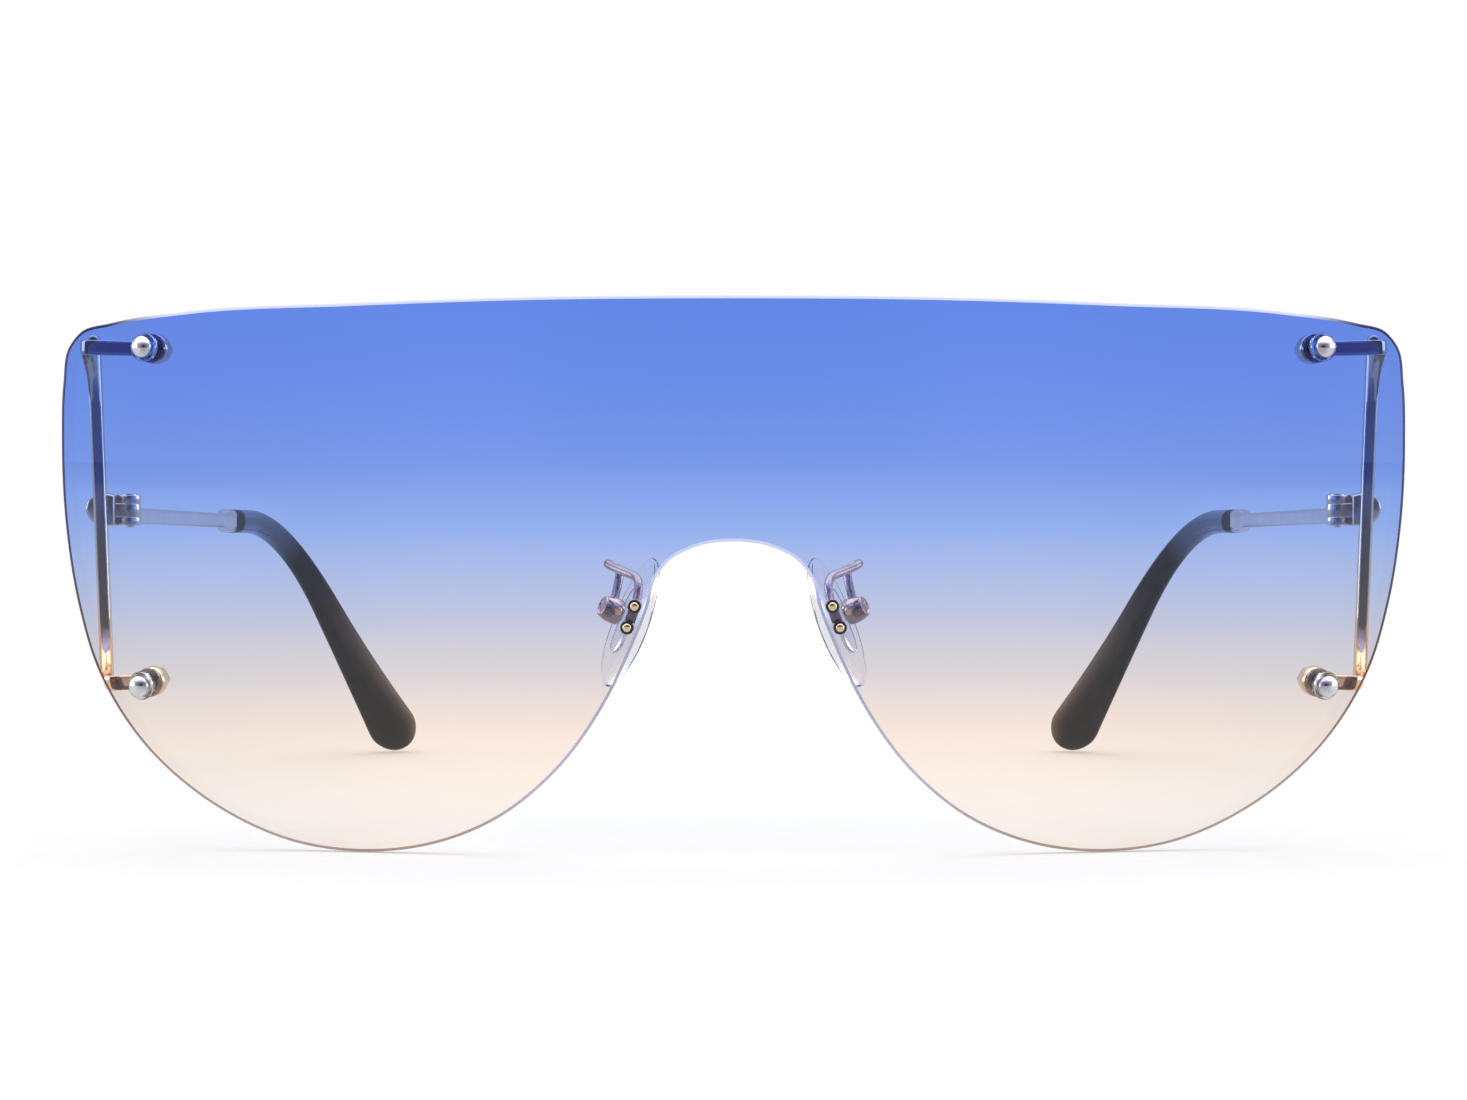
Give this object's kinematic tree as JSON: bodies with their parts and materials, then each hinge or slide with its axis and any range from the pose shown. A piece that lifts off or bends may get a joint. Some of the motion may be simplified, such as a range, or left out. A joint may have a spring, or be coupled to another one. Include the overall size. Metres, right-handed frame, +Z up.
{
  "type": "shield sunglasses",
  "caption": "Rimless shield sunglasses with a gradient blue one-piece lens, bolted gold side brackets, thin folding temples with dark plastic tips, and rocking clear nose pads.",
  "frame": {"origin": "middle of the overall box at the height of the surface the sunglasses stand on", "axes": "+X towards the wearer's left, +Y back along the open temples, +Z up"},
  "size_m": [0.145, 0.154, 0.0593],
  "materials": {
    "lens": "clear polycarbonate with a tint that fades from blue at the top to pale peach at the foot",
    "gold_metal": "polished gold plating",
    "rose_gold": "polished rose-gold plating",
    "chrome": "polished",
    "clear_plastic": "clear, glossy",
    "clear_silicone": "clear, soft, glossy",
    "bush_rubber": "dark, satin",
    "tip_plastic": "smoke-black translucent cellulose, glossy"
  },
  "bodies": {
    "frame": {"shield_lens": "lens", "left_side_bracket": "gold_metal", "left_end_piece": "gold_metal", "left_lens_bolts": "chrome", "left_lens_bushes": "clear_plastic", "left_back_washers": "clear_plastic", "left_hex_nuts": "chrome", "left_pad_arm": "rose_gold", "left_pin_bushes": "bush_rubber", "left_pad_screw": "gold_metal", "right_side_bracket": "gold_metal", "right_end_piece": "gold_metal", "right_lens_bolts": "chrome", "right_lens_bushes": "clear_plastic", "right_back_washers": "clear_plastic", "right_hex_nuts": "chrome", "right_pad_arm": "rose_gold", "right_pin_bushes": "bush_rubber", "right_pad_screw": "gold_metal"},
    "left_temple_arm": {"left_temple": "gold_metal", "left_temple_tip": "tip_plastic", "left_hinge_screw": "gold_metal"},
    "right_temple_arm": {"right_temple": "gold_metal", "right_temple_tip": "tip_plastic", "right_hinge_screw": "gold_metal"},
    "left_pad": {"left_pad_insert": "clear_plastic", "left_nose_pad": "clear_silicone"},
    "right_pad": {"right_pad_insert": "clear_plastic", "right_nose_pad": "clear_silicone"}
  },
  "joints": [
    {"name": "left_temple_fold", "type": "hinge", "parent": "frame", "child": "left_temple_arm", "pos_m": [0.06676, -0.04546, 0.036], "axis": [0, 0, 1], "range_deg": [0, 85]},
    {"name": "right_temple_fold", "type": "hinge", "parent": "frame", "child": "right_temple_arm", "pos_m": [-0.06676, -0.04546, 0.036], "axis": [0, 0, -1], "range_deg": [0, 80]},
    {"name": "left_pad_rock", "type": "hinge", "parent": "frame", "child": "left_pad", "pos_m": [0.0127, -0.06748, 0.0259], "axis": [0.4067, 0.9135, 0], "range_deg": [-8, 8]},
    {"name": "right_pad_rock", "type": "hinge", "parent": "frame", "child": "right_pad", "pos_m": [-0.0127, -0.06748, 0.0259], "axis": [-0.4067, 0.9135, 0], "range_deg": [-8, 8]}
  ]
}
